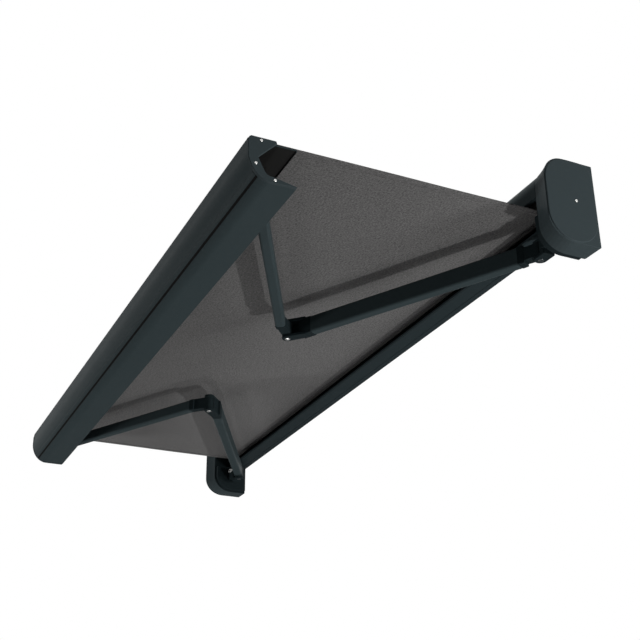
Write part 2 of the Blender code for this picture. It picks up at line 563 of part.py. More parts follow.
def spigot(s, x0, x1, width, height, wall, zc, slope_from, slope_to):
    """Plug that fills the arm's hollow with a fitting gap all round."""
    w2, h2, r = width / 2 - wall - GAP, height / 2 - wall - GAP, 0.0060
    loop = fillet([(w2, -h2), (w2, h2), (-w2, h2), (-w2, -h2)], [r] * 4, 4)
    yc = lambda x: slope_from + (slope_to - slope_from) * x / ARM_L
    return loft("spigot", [[(x, s * (yc(x) + y), zc + z) for y, z in loop] for x in (x0, x1)])


def plan_prism(s, points, z0, z1, edge=0.0012):
    return extrude_z("web", hull([(x, s * y) for x, y in points]), z0, z1, edge)


def fitting(s, end_x, pivot_x, width, yc, r, z0, z1, zc, height):
    """Cast body that runs from the arm's full section into a rounded tongue round the pivot."""
    d = 1 if pivot_x > end_x else -1
    a = [(end_x, yc - width / 2), (end_x, yc + width / 2)]
    b = [(end_x + d * 0.022, yc - width / 2 + 0.002), (end_x + d * 0.022, yc + width / 2 - 0.002)]
    collar = plan_prism(s, a + b, zc - height / 2, zc + height / 2, 0.002)
    tongue = plan_prism(s, [(end_x + d * 0.004, yc - width / 2 + 0.004), (end_x + d * 0.004, yc + width / 2 - 0.004)]
                        + circle(pivot_x, 0.0, r, 32), z0, z1, 0.0008)
    return collar, tongue


TOP, BOT = ARM_Z + REAR_H / 2, ARM_Z - REAR_H / 2
for s, label in ((1, "right"), (-1, "left")):
    # Shoulder bracket: plate on the side wall, neck through the bar cap's notch, two ears
    arm_y = SHOULDER_Y
    plate_x = CAP_SPAN - BRACKET_PLATE_T
    low = [(y, z) for y, z in cap_loop(0.0075) if z < SHELF_Z - 0.004]
    section = [(low[0][0], SHELF_Z - 0.0008)] + low + [(low[-1][0], SHELF_Z - 0.0008)]
    plate = loft("plate", [side_loop(inset(section, 0.0012), plate_x, s), side_loop(section, plate_x + 0.0012, s),
                           side_loop(section, CAP_SPAN - GAP, s)])
    xs = sorted((s * (ARM_X + 0.028), s * (plate_x + 0.006)))
    neck = block(xs[0], xs[1], arm_y - 0.025, arm_y + 0.025, -0.152, -0.120, 0.004)
    xs = sorted((s * (ARM_X + 0.0235), s * (ARM_X + 0.045)))
    root = block(xs[0], xs[1], arm_y - 0.022, arm_y + 0.022, BOT, TOP, 0.003)
    ears = []
    for z0, z1 in ((TOP - SHOULDER_EAR_T, TOP), (BOT, BOT + SHOULDER_EAR_T)):
        pts = [(s * x, y) for x, y in circle(ARM_X, arm_y, 0.0215, 36)]
        pts += [(s * (ARM_X + 0.040), arm_y - 0.0215), (s * (ARM_X + 0.040), arm_y + 0.0215)]
        ears.append(extrude_z("ear", hull(pts), z0, z1, 0.0012))
    sb = combine(plate, [neck, root] + ears)
    sb.name = "shoulder_bracket_" + label
    sb = bored(sb, s * ARM_X, arm_y, PIN_R + PIN_FIT, BOT - 0.01, TOP + 0.01)
    hole = rod("X", (0, *BOLT), 0.0036, s * (plate_x - 0.01), s * (CAP_SPAN + 0.01), 24)
    finish(combine(sb, [hole], "DIFFERENCE"), "coat_cast")
    finish(screw("bracket_bolt_" + label, s, plate_x, *BOLT, r=0.0145, head=0.0040, shank=0.0032, length=BRACKET_PLATE_T + 0.0027, inward=True),
           "steel_bright")
    pin("shoulder_pin_" + label, BOT, TOP, x=s * ARM_X, y=arm_y)

    # Rear arm: extrusion, shoulder end and elbow fork on an empty at the shoulder
    ang = pi + REST if s > 0 else -REST
    rear_axis = f"{label}_rear_arm_axis"
    axis_empty(rear_axis, (s * ARM_X, arm_y, 0.0), ang)
    tube_arm("rear_arm_" + label, s, REAR_START, REAR_STOP, REAR_W, REAR_H, REAR_WALL, ARM_Z, 0.0, -OFFSET, rear_axis)
    tz0, tz1 = BOT + SHOULDER_EAR_T + 0.0006, TOP - SHOULDER_EAR_T - 0.0006
    plug = spigot(s, REAR_START - 0.012, REAR_START + 0.040, REAR_W, REAR_H, REAR_WALL, ARM_Z, 0.0, -OFFSET)
    collar, tongue = fitting(s, REAR_START - GAP, 0.0, REAR_W, 0.0, 0.0210, tz0, tz1, ARM_Z, REAR_H)
    end = combine(collar, [tongue, plug])
    end.name = "shoulder_end_" + label
    finish(bored(end, 0.0, 0.0, PIN_R + PIN_FIT, -0.3, 0.1), "coat_cast", True, rear_axis)

    yo = -OFFSET * REAR_STOP / ARM_L
    plug = spigot(s, REAR_STOP - 0.040, REAR_STOP + 0.010, REAR_W, REAR_H, REAR_WALL, ARM_Z, 0.0, -OFFSET)
    collar = plan_prism(s, [(REAR_STOP + GAP, yo - REAR_W / 2), (REAR_STOP + GAP, yo + REAR_W / 2 - 0.0004),
                            (REAR_STOP + 0.053, yo - REAR_W / 2 - 0.0010), (REAR_STOP + 0.053, yo + REAR_W / 2 - 0.0030)], BOT, TOP, 0.002)
    ears = []
    e_top, e_bot = (FORE_Z + FORE_H / 2 + 0.0005), (FORE_Z - FORE_H / 2 - 0.0005)
    for z0, z1 in ((e_top, e_top + ELBOW_EAR_T), (e_bot - ELBOW_EAR_T, e_bot)):
        root = REAR_STOP + 0.025
        pts = [(root, yo - REAR_W / 2 + 0.0015), (root, yo + REAR_W / 2 - 0.0015)] + circle(ARM_L, 0.0, EAR_R, 36)
        ears.append(plan_prism(s, pts, z0, z1, 0.0015))
    fork = combine(collar, [plug] + ears)
    fork.name = "elbow_fork_" + label
    finish(bored(fork, ARM_L, 0.0, PIN_R + PIN_FIT, -0.3, 0.1), "coat_cast", True, rear_axis)
    pin("elbow_pin_" + label, e_bot - ELBOW_EAR_T, e_top + ELBOW_EAR_T, rear_axis, (0, 0, 0), ARM_L, 0.0)

    # Forearm on an empty at the elbow
    ex, ey = s * (ARM_X - ARM_L * cos(REST)), arm_y - ARM_L * sin(REST)
    ang = -REST if s > 0 else pi + REST
    fore_axis = f"{label}_forearm_axis"
    axis_empty(fore_axis, (ex, ey, 0.0), ang)
    tube_arm("forearm_" + label, s, FORE_START, FORE_STOP, FORE_W, FORE_H, FORE_WALL, FORE_Z, -OFFSET, 0.0, fore_axis)
    yo = -OFFSET * (1 - FORE_START / ARM_L)
    plug = spigot(s, FORE_START - 0.010, FORE_START + 0.038, FORE_W, FORE_H, FORE_WALL, FORE_Z, -OFFSET, 0.0)
    z0, z1 = FORE_Z - FORE_H / 2, FORE_Z + FORE_H / 2
    collar, tongue = fitting(s, FORE_START - GAP, 0.0, FORE_W, yo, 0.0175, z0, z1, FORE_Z, FORE_H)
    end = combine(collar, [tongue, plug])
    end.name = "elbow_end_" + label
    finish(bored(end, 0.0, 0.0, PIN_R + PIN_FIT, -0.3, 0.1), "coat_cast", True, fore_axis)
    fit = PIN_FIT if s > 0 else OPEN_PIVOT_FIT
    yo = -OFFSET * (1 - FORE_STOP / ARM_L)
    plug = spigot(s, FORE_STOP - 0.043, FORE_STOP + 0.010, FORE_W, FORE_H, FORE_WALL, FORE_Z, -OFFSET, 0.0)
    wz0, wz1 = WRIST_Z - WRIST_TONGUE_H / 2, WRIST_Z + WRIST_TONGUE_H / 2
    collar, tongue = fitting(s, FORE_STOP + GAP, ARM_L, FORE_W, yo, WRIST_R, wz0, wz1, FORE_Z, FORE_H)
    end = combine(collar, [tongue, plug])
    end.name = "wrist_end_" + label
    finish(bored(end, ARM_L, 0.0, PIN_R + fit, -0.3, 0.1), "coat_cast", True, fore_axis)

    # Wrist bracket: block fitted to the inside of the nose with two ears round the wrist pin
    zs = np.linspace(WRIST_Z - 0.028, WRIST_Z + 0.044, 13)
    fy = [NOSE_Y - (ry - w - GAP) * sqrt(max(0.0, 1 - (min(0.0, z - NOSE_Z) / (rz - w - GAP)) ** 2)) for z in zs]
    section = [(y, z) for y, z in zip(fy, zs)] + [(WRIST_Y - 0.020, zs[-1]), (WRIST_Y - 0.017, zs[-1] - 0.004), (WRIST_Y - 0.017, zs[0])]
    x0, x1 = sorted((s * (ARM_X - 0.022), s * (ARM_X + 0.022)))
    base = extrude_x("wrist_bracket_" + label, section, x0, x1)
    ears = []
    for z0, z1 in ((wz1 + 0.0006, wz1 + 0.0006 + WRIST_EAR_T), (wz0 - 0.0006 - WRIST_EAR_T, wz0 - 0.0006)):
        pts = circle(s * ARM_X, WRIST_Y, WRIST_R, 32) + [(s * ARM_X - 0.0185, WRIST_Y - 0.022), (s * ARM_X + 0.0185, WRIST_Y - 0.022)]
        ears.append(extrude_z("ear", hull(pts), z0, z1, 0.0010))
    base = combine(base, ears)
    base = bored(base, s * ARM_X, WRIST_Y, PIN_R + PIN_FIT, -0.3, 0.1)
    finish(base, "coat_cast", True, "front_bar_axis", bar_off)
    pin("wrist_pin_" + label, wz0 - 0.0006 - WRIST_EAR_T, wz1 + 0.0006 + WRIST_EAR_T, "front_bar_axis", bar_off,
        s * ARM_X, WRIST_Y)
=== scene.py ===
# Looks of the folding-arm awning: finishes of the coated, cast and steel pieces, and the tensioned cloth
import json
import bpy
import numpy as np
from math import pi, radians
from mathutils import Matrix, Vector


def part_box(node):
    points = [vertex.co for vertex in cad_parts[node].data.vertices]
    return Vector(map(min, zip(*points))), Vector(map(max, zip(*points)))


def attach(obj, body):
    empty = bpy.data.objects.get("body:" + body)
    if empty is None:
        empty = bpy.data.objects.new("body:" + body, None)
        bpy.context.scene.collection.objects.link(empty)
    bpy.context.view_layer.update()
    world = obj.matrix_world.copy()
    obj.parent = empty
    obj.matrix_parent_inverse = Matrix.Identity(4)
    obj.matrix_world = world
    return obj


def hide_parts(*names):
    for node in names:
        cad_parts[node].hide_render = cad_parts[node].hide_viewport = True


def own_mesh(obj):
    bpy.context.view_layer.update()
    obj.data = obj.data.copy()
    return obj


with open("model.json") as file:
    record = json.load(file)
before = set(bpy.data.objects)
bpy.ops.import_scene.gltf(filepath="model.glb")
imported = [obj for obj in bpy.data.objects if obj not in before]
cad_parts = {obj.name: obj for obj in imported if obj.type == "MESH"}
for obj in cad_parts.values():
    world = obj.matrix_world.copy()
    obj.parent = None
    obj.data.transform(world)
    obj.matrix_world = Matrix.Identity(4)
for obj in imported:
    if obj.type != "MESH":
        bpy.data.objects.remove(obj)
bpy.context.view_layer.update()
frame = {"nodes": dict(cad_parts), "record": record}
NODES = frame["nodes"]

# Camera: level heading, look-up angle and roll solved from the awning's straight edges
CAMERA_PLACE = (3.78316, -2.04132, -1.79491)
CAMERA_HEADING = radians(154.475)
CAMERA_LOOK_UP = radians(24.805)
CAMERA_ROLL = radians(-0.6513)
FOCAL_PIXELS = 1103.12
IMAGE_PIXELS = 640
SENSOR = 36.0

FLOOR_Z = -4.20          # paving far enough below for the lamps under the awning
FLOOR_SIZE = 60.0


def place_camera():
    """Camera whose view line follows heading and look-up, turned about that line by the roll."""
    ahead = Vector((np.cos(CAMERA_HEADING) * np.cos(CAMERA_LOOK_UP),
                    np.sin(CAMERA_HEADING) * np.cos(CAMERA_LOOK_UP), np.sin(CAMERA_LOOK_UP)))
    right = ahead.cross(Vector((0, 0, 1))).normalized()
    up = right.cross(ahead)
    c, s = np.cos(CAMERA_ROLL), np.sin(CAMERA_ROLL)
    axis_x, axis_y = right * c + up * s, up * c - right * s
    data = bpy.data.cameras.new("camera")
    data.sensor_width = SENSOR
    data.lens = SENSOR * FOCAL_PIXELS / IMAGE_PIXELS
    data.clip_start, data.clip_end = 0.05, 200.0
    camera = bpy.data.objects.new("camera", data)
    turn = Matrix((axis_x, axis_y, -ahead)).transposed()
    camera.matrix_world = Matrix.Translation(CAMERA_PLACE) @ turn.to_4x4()
    bpy.context.scene.collection.objects.link(camera)
    bpy.context.scene.camera = camera


place_camera()


# Node helpers
def node(tree, kind, inputs=None, **settings):
    """One shader node with its settings and its unlinked or linked inputs."""
    n = tree.nodes.new(kind)
    for key, value in settings.items():
        setattr(n, key, value)
    for key, value in (inputs or {}).items():
        if isinstance(value, bpy.types.NodeSocket):
            tree.links.new(value, n.inputs[key])
        else:
            n.inputs[key].default_value = value
    return n


def math_node(tree, operation, a, b=0.0, c=0.0, clamp=False):
    """Output of a Math node."""
    return node(tree, "ShaderNodeMath", {0: a, 1: b, 2: c}, operation=operation, use_clamp=clamp).outputs[0]


def remap(tree, value, low, high, to_low, to_high, smooth=False):
    """Value taken from one range to another, straight or with eased ends."""
    kind = "SMOOTHSTEP" if smooth else "LINEAR"
    n = node(tree, "ShaderNodeMapRange", {"Value": value, "From Min": low, "From Max": high,
                                          "To Min": to_low, "To Max": to_high}, interpolation_type=kind)
    return n.outputs["Result"]


def blend_colour(tree, factor, a, b):
    """Colour a where factor is 0, colour b where it is 1."""
    n = node(tree, "ShaderNodeMix", {0: factor, 6: a, 7: b}, data_type="RGBA", blend_type="MIX")
    return n.outputs[2]


def noise(tree, vector, scale, detail=3.0, roughness=0.55):
    """Noise between 0 and 1, scale cells to the metre."""
    n = node(tree, "ShaderNodeTexNoise",
             {"Vector": vector, "Scale": scale, "Detail": detail, "Roughness": roughness})
    return n.outputs["Fac"]


def scaled(tree, vector, factors):
    """Vector with each part times its own factor."""
    n = node(tree, "ShaderNodeVectorMath", {0: vector, 1: factors}, operation="MULTIPLY")
    return n.outputs["Vector"]


def group(name, inputs, outputs):
    """Empty node group with named sockets: inputs are (name, kind, value), outputs (name, kind)."""
    g = bpy.data.node_groups.new(name, "ShaderNodeTree")
    for label, kind, value in inputs:
        s = g.interface.new_socket(label, in_out="INPUT", socket_type=kind)
        if value is not None:
            s.default_value = value
    for label, kind in outputs:
        g.interface.new_socket(label, in_out="OUTPUT", socket_type=kind)
    return g, g.nodes.new("NodeGroupInput").outputs, g.nodes.new("NodeGroupOutput").inputs


VEC, VAL, COL = "NodeSocketVector", "NodeSocketFloat", "NodeSocketColor"


def make_powder_coat():
    """Coat of fused powder: fine orange-peel bumps, cloudy gloss and a faint shade change."""
    g, i, o = group("powder_coat",
                    (("Place", VEC, None), ("Colour", COL, (0, 0, 0, 1)),
                     ("Gloss change", VAL, 0.08), ("Shade change", VAL, 0.12)),
                    (("Colour", COL), ("Roughness add", VAL), ("Height", VAL)))
    peel = noise(g, i["Place"], 900.0, 2.0, 0.5)
    fine = noise(g, i["Place"], 2600.0, 1.0, 0.5)
    cloud = noise(g, i["Place"], 7.0, 4.0, 0.6)
    lift = math_node(g, "MULTIPLY_ADD", peel, 0.75, math_node(g, "MULTIPLY", fine, 0.25))
    g.links.new(lift, o["Height"])
    g.links.new(math_node(g, "MULTIPLY", math_node(g, "SUBTRACT", cloud, 0.5), i["Gloss change"]), o["Roughness add"])
    broad = noise(g, i["Place"], 3.0, 3.0)
    swing = math_node(g, "MULTIPLY", math_node(g, "SUBTRACT", broad, 0.5), i["Shade change"])
    grain = math_node(g, "MULTIPLY", math_node(g, "SUBTRACT", peel, 0.5), 0.16)
    total = math_node(g, "ADD", 1.0, math_node(g, "ADD", swing, grain))
    n = node(g, "ShaderNodeVectorMath", {0: i["Colour"], "Scale": total}, operation="SCALE")
    g.links.new(n.outputs["Vector"], o["Colour"])
    return g


def make_die_lines():
    """Faint lines that run along an extrusion, found from the place across it only."""
    g, i, o = group("die_lines", (("Place", VEC, None), ("Strength", VAL, 0.05)),
                    (("Roughness add", VAL), ("Height", VAL)))
    across = scaled(g, i["Place"], (0.35, 260.0, 260.0))
    lines = noise(g, across, 1.0, 3.0, 0.7)
    g.links.new(math_node(g, "MULTIPLY", math_node(g, "SUBTRACT", lines, 0.5), i["Strength"]), o["Roughness add"])
    g.links.new(lines, o["Height"])
    return g


def make_dust():
    """Outdoor dust: thin on all faces, thicker on those that look up, broken by noise."""
    g, i, o = group("dust", (("Place", VEC, None), ("Amount", VAL, 0.2)), (("Mask", VAL),))
    n = node(g, "ShaderNodeNewGeometry")
    up = node(g, "ShaderNodeSeparateXYZ", {0: n.outputs["Normal"]}).outputs["Z"]
    lie = remap(g, up, 0.2, 1.0, 0.12, 1.0, True)
    spots = remap(g, noise(g, i["Place"], 60.0, 5.0, 0.7), 0.35, 0.75, 0.2, 1.0)
    lies_there = math_node(g, "MULTIPLY", lie, spots)
    g.links.new(math_node(g, "MULTIPLY", lies_there, i["Amount"], clamp=True), o["Mask"])
    return g


def make_weave():
    """Plain weave from the flat cut's metres: warp and weft as two sine waves in counterphase,
    each yarn a shade of its own, with painted shade: darker where a yarn dips under, lighter where it rides over."""
    g, i, o = group("plain_weave", (("Cut", VEC, None), ("Yarn", VAL, 0.0011), ("Fleck", VAL, 0.3)),
                    (("Shade", VAL), ("Height", VAL), ("Gap", VAL)))
    part = node(g, "ShaderNodeSeparateXYZ", {0: i["Cut"]})
    count = math_node(g, "DIVIDE", pi, i["Yarn"])
    su = math_node(g, "SINE", math_node(g, "MULTIPLY", part.outputs["X"], count))
    sv = math_node(g, "SINE", math_node(g, "MULTIPLY", part.outputs["Y"], count))
    over = math_node(g, "MULTIPLY", su, sv)
    lift = math_node(g, "MULTIPLY_ADD", over, 0.5, 0.5)
    g.links.new(lift, o["Height"])
    ridge = math_node(g, "ADD", math_node(g, "ABSOLUTE", su), math_node(g, "ABSOLUTE", sv))
    g.links.new(remap(g, ridge, 0.0, 1.0, 1.0, 0.0, True), o["Gap"])
    warp = noise(g, scaled(g, i["Cut"], (520.0, 26.0, 1.0)), 1.0, 2.0, 0.6)
    weft = noise(g, scaled(g, i["Cut"], (26.0, 520.0, 1.0)), 1.0, 2.0, 0.6)
    fleck = math_node(g, "ADD", warp, weft)
    specks = noise(g, i["Cut"], 150.0, 3.0, 0.9)
    both = math_node(g, "MULTIPLY_ADD", specks, 4.0, math_node(g, "SUBTRACT", fleck, 3.0))
    shade = math_node(g, "MULTIPLY_ADD", both, i["Fleck"], 1.0)
    # Painted shade: yarns go darker where they dip under a crossing and lighter on top of it
    g.links.new(math_node(g, "MULTIPLY", shade, remap(g, lift, 0.0, 1.0, 0.86, 1.10)), o["Shade"])
    return g


def make_turning():
    """Lathe and brush marks on bright metal, with a few longer scratches."""
    g, i, o = group("bright_metal_marks", (("Place", VEC, None), ("Strength", VAL, 0.2)),
                    (("Roughness add", VAL), ("Height", VAL)))
    marks = noise(g, scaled(g, i["Place"], (900.0, 900.0, 4000.0)), 1.0, 3.0, 0.7)
    long_marks = noise(g, scaled(g, i["Place"], (120.0, 2600.0, 700.0)), 1.0, 2.0, 0.6)
    scratch = remap(g, long_marks, 0.62, 0.74, 0.0, 1.0)
    total = math_node(g, "ADD", math_node(g, "SUBTRACT", marks, 0.5), scratch)
    g.links.new(math_node(g, "MULTIPLY", total, i["Strength"]), o["Roughness add"])
    g.links.new(marks, o["Height"])
    return g


POWDER, DIE_LINES, DUST = make_powder_coat(), make_die_lines(), make_dust()
WEAVE, TURNING = make_weave(), make_turning()
DUST_COLOUR = (0.22, 0.21, 0.19, 1.0)
ANTHRACITE = (0.029, 0.041, 0.0445)
CANVAS_GREY = (0.078, 0.0755, 0.0745)
YARN = 0.0011            # width of one yarn
HOLLOW_Z = -0.066        # underside of the bar's top plate
# Painted shade: the near-black colour given to the inside of the bar's hollow
HOLLOW_PAINTED_SHADE = (0.0135, 0.0135, 0.0130)


def put(tree, g, inputs):
    """Outputs of node group g, placed in tree with its inputs set or linked."""
    n = tree.nodes.new("ShaderNodeGroup")
    n.node_tree = g
    for key, value in inputs.items():
        if isinstance(value, bpy.types.NodeSocket):
            tree.links.new(value, n.inputs[key])
        else:
            n.inputs[key].default_value = value
    return n.outputs


def new_material(name, metallic=0.0, specular=0.5):
    """New node material, its tree and its shader."""
    m = bpy.data.materials.new(name)
    m.use_nodes = True
    shader = m.node_tree.nodes["Principled BSDF"]
    shader.inputs["Metallic"].default_value = metallic
    shader.inputs["Specular IOR Level"].default_value = specular
    return m, m.node_tree, shader


def bump(tree, height, distance, strength=1.0, normal=None):
    """Normal bent by a height of distance metres."""
    inputs = {"Height": height, "Distance": distance, "Strength": strength}
    if normal is not None:
        inputs["Normal"] = normal
    return node(tree, "ShaderNodeBump", inputs).outputs["Normal"]


def coated(name, colour, roughness, extruded, dust=0.15, peel=0.00012, specular=0.014, hollow=None):
    """Powder-coated finish. Extruded pieces add die lines along the wall. A hollow (height, colour)
    gets painted shade: faces that look down above that height and rear faces below it take that dark colour in place
    of the shadow inside."""
    m, t, shader = new_material(name, specular=specular)
    place = node(t, "ShaderNodeTexCoord").outputs["Object"]
    coat = put(t, POWDER, {"Place": place, "Colour": (*colour, 1.0)})
    rough = math_node(t, "ADD", coat["Roughness add"], roughness)
    normal = bump(t, coat["Height"], peel)
    if extruded:
        lines = put(t, DIE_LINES, {"Place": place, "Strength": 0.10})
        rough = math_node(t, "ADD", rough, lines["Roughness add"])
        normal = bump(t, lines["Height"], 0.00006, 0.6, normal)
    mask = put(t, DUST, {"Place": place, "Amount": dust})["Mask"]
    colour = blend_colour(t, mask, coat["Colour"], DUST_COLOUR)
    # Painted shade inside the hollow: a dark colour where the bar's inside lies in shadow
    if hollow:
        level, dark = hollow
        outward = node(t, "ShaderNodeNewGeometry").outputs["Normal"]
        facing = node(t, "ShaderNodeSeparateXYZ", {0: outward}).outputs
        height = node(t, "ShaderNodeSeparateXYZ", {0: place}).outputs["Z"]
        under = math_node(t, "MULTIPLY", math_node(t, "LESS_THAN", facing["Z"], -0.5),
                          math_node(t, "GREATER_THAN", height, level))
        inner = math_node(t, "MULTIPLY", math_node(t, "GREATER_THAN", facing["Y"], 0.2),
                          math_node(t, "LESS_THAN", height, level))
        colour = blend_colour(t, math_node(t, "MAXIMUM", under, inner), colour, (*dark, 1.0))
    t.links.new(colour, shader.inputs["Base Color"])
    t.links.new(math_node(t, "MULTIPLY_ADD", mask, 0.3, rough, clamp=True), shader.inputs["Roughness"])
    t.links.new(normal, shader.inputs["Normal"])
    return m


def bright_steel(name, colour, roughness):
    """Bare or blackened metal with turning marks and a faint cloudiness."""
    m, t, shader = new_material(name, metallic=1.0)
    place = node(t, "ShaderNodeTexCoord").outputs["Object"]
    marks = put(t, TURNING, {"Place": place, "Strength": 0.18})
    tone = remap(t, noise(t, place, 40.0), 0.3, 0.7, 0.9, 1.06)
    n = node(t, "ShaderNodeVectorMath", {0: colour, "Scale": tone}, operation="SCALE")
    t.links.new(n.outputs["Vector"], shader.inputs["Base Color"])
    t.links.new(math_node(t, "ADD", marks["Roughness add"], roughness, clamp=True), shader.inputs["Roughness"])
    t.links.new(bump(t, marks["Height"], 0.00003), shader.inputs["Normal"])
    return m


def moulded_black(name, dark=(0.012, 0.012, 0.013, 1), pale=(0.022, 0.022, 0.023, 1), specular=0.4):
    """Fine-grained black plastic or rubber between a dark and a paler shade, and the near-black strip that paints the
    slot's shade.
    """
    m, t, shader = new_material(name, specular=specular)
    place = node(t, "ShaderNodeTexCoord").outputs["Object"]
    grain = noise(t, place, 1400.0, 2.0)
    t.links.new(blend_colour(t, remap(t, noise(t, place, 30.0), 0.3, 0.7, 0.0, 1.0), dark, pale),
                shader.inputs["Base Color"])
    t.links.new(remap(t, grain, 0.3, 0.7, 0.48, 0.66), shader.inputs["Roughness"])
    t.links.new(bump(t, grain, 0.00005), shader.inputs["Normal"])
    return m


def canvas(name):
    """Solution-dyed acrylic canvas read from the flat cut's metres in the UV map, with painted shade in the weave's
    gaps.
    """
    m, t, shader = new_material(name, specular=0.22)
    cut = node(t, "ShaderNodeUVMap", uv_map="cut").outputs["UV"]
    weave = put(t, WEAVE, {"Cut": cut, "Yarn": YARN, "Fleck": 1.1})
    broad = remap(t, noise(t, cut, 1.3, 3.0), 0.3, 0.7, 0.93, 1.07)
    tone = math_node(t, "MULTIPLY", weave["Shade"], broad)
    n = node(t, "ShaderNodeVectorMath", {0: CANVAS_GREY, "Scale": tone}, operation="SCALE")
    # Painted shade: the gaps between yarns are mixed toward near-black where the weave lies in shadow
    between = math_node(t, "MULTIPLY", weave["Gap"], 0.55)
    deep = blend_colour(t, between, n.outputs["Vector"], (0.012, 0.012, 0.013, 1))
    t.links.new(deep, shader.inputs["Base Color"])
    t.links.new(remap(t, weave["Height"], 0.0, 1.0, 0.94, 0.82), shader.inputs["Roughness"])
    t.links.new(bump(t, weave["Height"], 0.00022, 0.8), shader.inputs["Normal"])
    shader.inputs["Sheen Weight"].default_value = 0.12
    shader.inputs["Sheen Roughness"].default_value = 0.6
    return m


FINISH = {
    "coat_profile": coated("anthracite_profile", ANTHRACITE, 0.42, True),
    # The bar's coat carries painted shade inside its hollow
    "bar_painted_hollow_shade": coated("anthracite_bar_painted_shade", ANTHRACITE, 0.42, True, hollow=(HOLLOW_Z, HOLLOW_PAINTED_SHADE)),
    # The rear profile's coat is a darker copy of the anthracite: painted shade
    "rear_coat_painted_shade": coated("anthracite_rear_painted_shade", (0.017, 0.025, 0.028), 0.45, True),
    "coat_cast": coated("anthracite_cast", (0.011, 0.017, 0.019), 0.50, False, 0.10, 0.0003),
    "coat_moulded": coated("anthracite_moulded", (0.037, 0.049, 0.053), 0.44, False, 0.12, 0.00010),
    "steel_bright": bright_steel("stainless", (0.78, 0.78, 0.76), 0.26),
    "zinc_tube": bright_steel("galvanised", (0.55, 0.56, 0.57), 0.42),
    "steel_dark": bright_steel("blackened_steel", (0.10, 0.11, 0.115), 0.40),
    "plastic_black": moulded_black("moulded_black"),
    # Near-black strip on the bar's nose: painted shade standing for the valance slot's shadow
    "painted_slot_shade": moulded_black("painted_slot_shade", (0.002, 0.002, 0.002, 1), (0.004, 0.004, 0.004, 1), 0.02),
    "cloth_grey": canvas("grey_canvas"),
}

# Each solid wears its slot's finish, except the few whose look differs: the shoulder pins are blackened steel, the
# bar carries painted shade in its hollow, and the rear profile wears a darker copy of the coat as painted shade
slot_of = {s["node"]: s["material_slot"] for s in frame["record"]["subparts"]}
SPECIAL = {"shoulder_pin_right": "steel_dark", "shoulder_pin_left": "steel_dark",
           "front_bar": "bar_painted_hollow_shade", "rear_profile": "rear_coat_painted_shade"}
for name, ob in NODES.items():
    for k in range(len(ob.material_slots)):
        ob.material_slots[k].material = FINISH[SPECIAL.get(name, slot_of[name])]


# Mesh helpers
def surface(name, points, cut, finish="cloth_grey", closed_u=False, solid=0.0, smooth=True):
    """Mesh over a grid of points (rows, columns, 3) with the flat cut's metres as its UV map.
    Each cell joins four neighbours; closed_u joins the last column to the first."""
    rows, cols = points.shape[:2]
    index = np.arange(rows * cols).reshape(rows, cols)
    right = np.roll(index, -1, axis=1) if closed_u else index[:, 1:]
    left = index if closed_u else index[:, :-1]
    quads = np.stack((left[:-1], right[:-1], right[1:], left[1:]), axis=-1).reshape(-1, 4)
    me = bpy.data.meshes.new(name)
    me.from_pydata(points.reshape(-1, 3), [], quads.tolist())
    uv = me.uv_layers.new(name="cut")
    corner = np.empty(len(me.loops), dtype=np.int32)
    me.loops.foreach_get("vertex_index", corner)
    uv.uv.foreach_set("vector", cut.reshape(-1, 2)[corner].astype(np.float32).ravel())
    ob = bpy.data.objects.new(name, me)
    bpy.context.scene.collection.objects.link(ob)
    me.materials.append(FINISH[finish])
    if smooth:
        me.shade_smooth()
    if solid:
        shell = ob.modifiers.new("thickness", "SOLIDIFY")
        shell.thickness, shell.offset = solid, 0.0
    return ob


# Cloth: sizes come from the CAD sheet and its neighbours
cloth_low, cloth_high = (np.array(v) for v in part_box("cloth"))
HALF = cloth_high[0]
Y_ROLL, Y_BAR = cloth_high[1], cloth_low[1] + 0.0070
ROLL_LOW, ROLL_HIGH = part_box("cloth_roll")
ROLL_AXIS = np.array((ROLL_LOW[1] + ROLL_HIGH[1], ROLL_LOW[2] + ROLL_HIGH[2])) / 2
ROLL_RADIUS, TUBE_RADIUS = 0.0434, 0.0394
THICK = 0.0006           # of the canvas
Z_TAUT = -0.0431         # height of the taut cloth
SAG = 0.0013             # leaves the hems free of the bar's top plate when closed
HEM = 0.025              # width of a side hem
HEM_DROP = 0.00095       # hem's middle below the cloth's
HEM_TURN = 0.0009        # how far the folded edge turns out
STITCH_DROP = 0.00125
BEAD_RADIUS = 0.0025


def cloth_drop(x, y):
    """Height of the cloth: a parabola below the taut plane between roll and bar, soft ripples
    that die at both ends, and side edges that lift a little."""
    along = (Y_ROLL - y) / (Y_ROLL - Y_BAR)
    free = 4 * along * (1 - along)
    ripple = 0.00045 * np.sin(9.0 * x + 1.7 * np.sin(2.2 * along * pi)) + 0.00030 * np.sin(23.0 * x + 5.0 * along)
    edge = 0.0010 * np.exp(-((HALF - np.abs(x)) / 0.05))
    return Z_TAUT - free * (SAG + ripple - edge)


def make_cloth():
    """Canvas between roll and bar: x and y on an even grid, z from cloth_drop."""
    x, y = np.linspace(-HALF, HALF, 221), np.linspace(Y_ROLL, Y_BAR, 91)
    gx, gy = np.meshgrid(x, y)
    points = np.stack((gx, gy, cloth_drop(gx, gy)), axis=-1)
    return surface("canopy", points, np.stack((gx, gy), axis=-1), solid=THICK)


